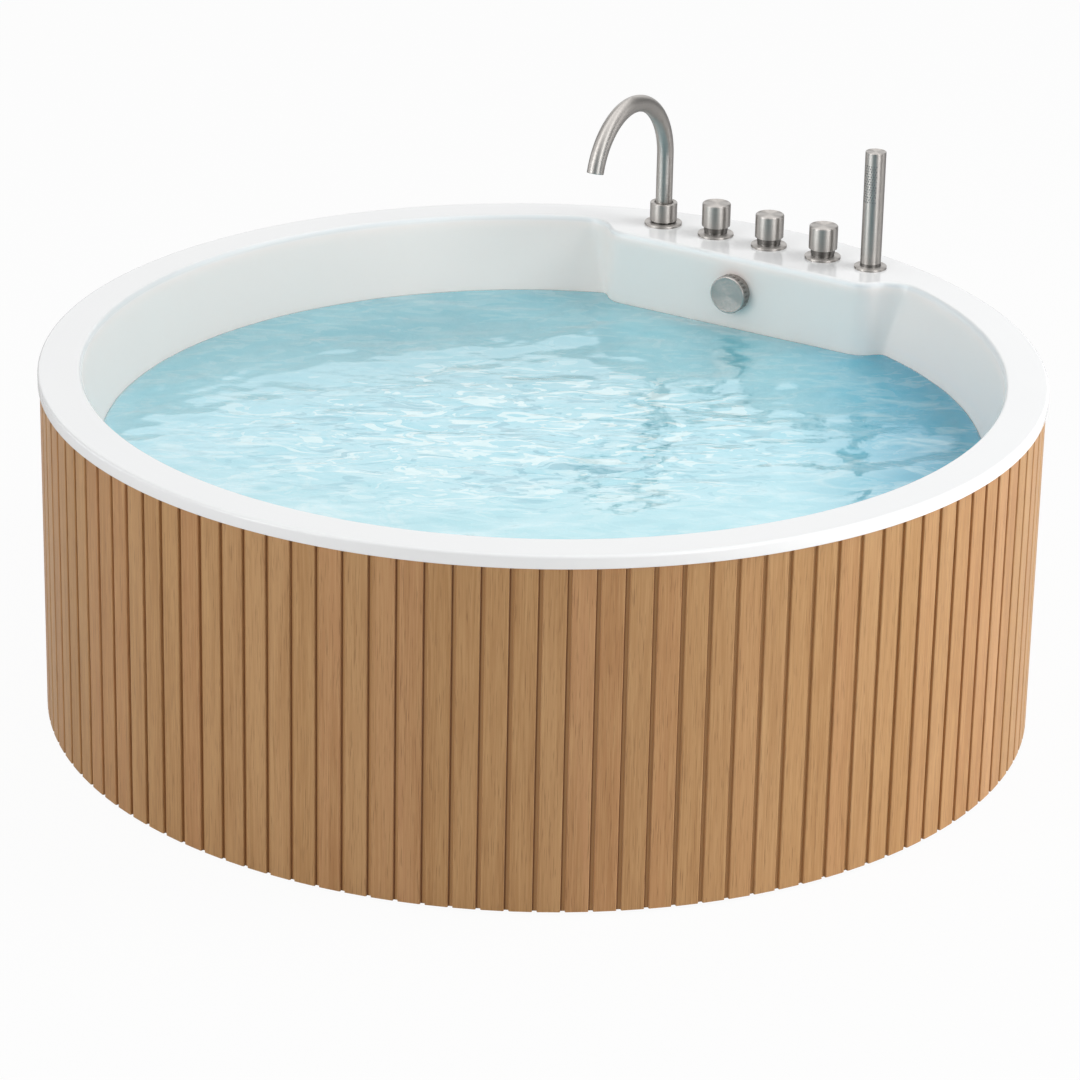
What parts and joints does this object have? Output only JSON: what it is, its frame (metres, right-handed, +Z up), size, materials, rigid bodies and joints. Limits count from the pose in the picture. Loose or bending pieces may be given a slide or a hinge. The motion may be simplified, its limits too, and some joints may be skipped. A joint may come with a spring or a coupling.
{
  "type": "round bathtub",
  "caption": "Round freestanding bathtub with a slatted timber skirt, a deck with spout, tap knobs and pull-up handset, and an overflow knob that lifts the drain plug.",
  "frame": {"origin": "on the floor, under the middle of the rim", "axes": "+Z up, +Y from the middle towards the tap deck, +X to the right when facing the taps"},
  "size_m": [1.4998, 1.4998, 0.7815],
  "materials": {
    "acrylic": "gloss",
    "oak": "oiled",
    "backing_board": "stained",
    "plywood": "raw",
    "zinc_steel": "galvanised",
    "nickel": "brushed",
    "brass": "machined",
    "rubber": "matt",
    "white_plastic": "moulded",
    "grey_plastic": "moulded"
  },
  "bodies": {
    "bath": {"tub_shell": "acrylic", "base_board": "plywood", "frame_rails": "zinc_steel", "frame_crossbars": "zinc_steel", "foot_pads": "rubber", "foot_stems": "zinc_steel", "foot_nuts": "zinc_steel", "bottom_hoop": "plywood", "top_hoop": "plywood", "backing_rear": "backing_board", "backing_left": "backing_board", "backing_front": "backing_board", "backing_right": "backing_board", "slats_rear": "oak", "slats_left": "oak", "slats_front": "oak", "slats_right": "oak", "spout_flange": "nickel", "spout_collar": "nickel", "spout_shank": "brass", "hot_flange": "nickel", "hot_valve": "brass", "diverter_flange": "nickel", "diverter_valve": "brass", "cold_flange": "nickel", "cold_valve": "brass", "mixing_pipes": "brass", "spout_feed_pipe": "brass", "deck_washers": "rubber", "deck_nuts": "brass", "handset_flange": "nickel", "handset_guide": "brass", "overflow_bezel": "nickel", "overflow_gasket": "rubber", "overflow_body": "white_plastic", "overflow_pipe": "white_plastic", "waste_flange": "nickel", "waste_gasket": "rubber", "waste_body": "white_plastic"},
    "spout": {"spout_tube": "nickel", "aerator": "grey_plastic"},
    "hot_tap": {"hot_knob": "nickel", "hot_spindle": "brass"},
    "diverter": {"diverter_knob": "nickel", "diverter_spindle": "brass"},
    "cold_tap": {"cold_knob": "nickel", "cold_spindle": "brass"},
    "handset": {"handset_body": "nickel", "handset_connector": "brass", "spray_face": "grey_plastic"},
    "overflow_control": {"overflow_knob": "nickel", "overflow_spindle": "brass"},
    "plug": {"drain_plug": "nickel", "plug_seal": "rubber"}
  },
  "joints": [
    {"name": "spout_swivel", "type": "hinge", "parent": "bath", "child": "spout", "pos_m": [-0.179, 0.65924, 0.56], "axis": [0, 0, 1], "range_deg": [-60, 60]},
    {"name": "hot_turn", "type": "hinge", "parent": "bath", "child": "hot_tap", "pos_m": [-0.081, 0.65924, 0.56], "axis": [0, 0, 1], "range_deg": [0, 90]},
    {"name": "diverter_turn", "type": "hinge", "parent": "bath", "child": "diverter", "pos_m": [0.017, 0.65924, 0.56], "axis": [0, 0, 1], "range_deg": [-90, 90]},
    {"name": "cold_turn", "type": "hinge", "parent": "bath", "child": "cold_tap", "pos_m": [0.115, 0.65924, 0.56], "axis": [0, 0, 1], "range_deg": [0, 90]},
    {"name": "handset_lift", "type": "slide", "parent": "bath", "child": "handset", "axis": [0, 0, 1], "range_m": [0, 0.3]},
    {"name": "overflow_turn", "type": "hinge", "parent": "bath", "child": "overflow_control", "pos_m": [0, 0.56, 0.482], "axis": [0, 1, 0], "range_deg": [0, 90]},
    {"name": "plug_lift", "type": "slide", "parent": "bath", "child": "plug", "axis": [0, 0, 1], "range_m": [0, 0.01]}
  ],
  "couplings": [
    {"joint": "plug_lift", "follows": "overflow_turn", "m_per_rad": 0.006366}
  ]
}
